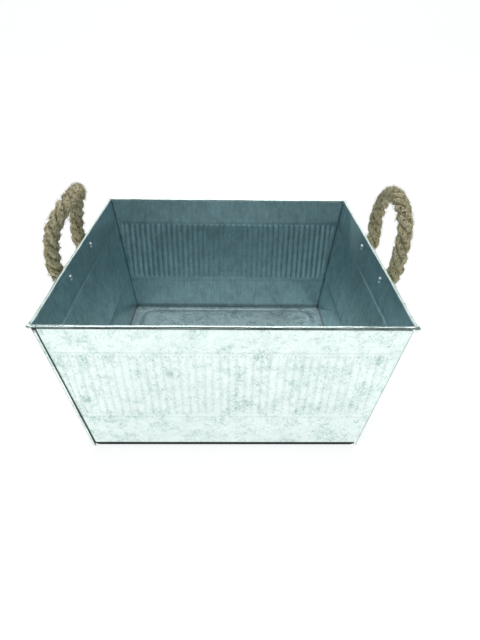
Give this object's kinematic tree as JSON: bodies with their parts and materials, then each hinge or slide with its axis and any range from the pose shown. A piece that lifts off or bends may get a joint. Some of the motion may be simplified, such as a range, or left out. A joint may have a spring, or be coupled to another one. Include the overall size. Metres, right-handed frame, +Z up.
{
  "type": "florist bucket",
  "caption": "Square tapered galvanised tub with a fluted band, rolled rim, raised base and two upright twisted-rope loop handles.",
  "frame": {"origin": "on the floor, below the middle of the bucket", "axes": "+Z up, -Y towards the front wall that the seam flange overlaps at its left edge, +X towards the right handle"},
  "size_m": [0.299, 0.2648, 0.1893],
  "materials": {
    "galvanised_sheet": "zinc spangle, semi-bright",
    "galvanised_base": "zinc spangle, semi-bright, mottled",
    "rim_wire_steel": "drawn wire",
    "socket_steel": "zinc plated",
    "rivet_steel": "bright",
    "jute_rope": "three-strand laid jute, fuzzy"
  },
  "bodies": {
    "bucket": {"wall_sheet_front_right": "galvanised_sheet", "wall_sheet_rear_left": "galvanised_sheet", "base_pan": "galvanised_base", "rim_wire": "rim_wire_steel", "rope_socket_left_front": "socket_steel", "socket_rivet_left_front": "rivet_steel", "rope_end_left_front": "jute_rope", "rope_socket_left_rear": "socket_steel", "socket_rivet_left_rear": "rivet_steel", "rope_end_left_rear": "jute_rope", "rope_socket_right_front": "socket_steel", "socket_rivet_right_front": "rivet_steel", "rope_end_right_front": "jute_rope", "rope_socket_right_rear": "socket_steel", "socket_rivet_right_rear": "rivet_steel", "rope_end_right_rear": "jute_rope"},
    "left_handle": {"rope_handle_left": "jute_rope"},
    "right_handle": {"rope_handle_right": "jute_rope"}
  },
  "joints": [
    {"name": "left_handle_swing", "type": "hinge", "parent": "bucket", "child": "left_handle", "pos_m": [-0.1382, -0.008, 0.125], "axis": [0, -1, 0], "range_deg": [0, 80]},
    {"name": "right_handle_swing", "type": "hinge", "parent": "bucket", "child": "right_handle", "pos_m": [0.1382, -0.008, 0.125], "axis": [0, 1, 0], "range_deg": [0, 80]}
  ]
}
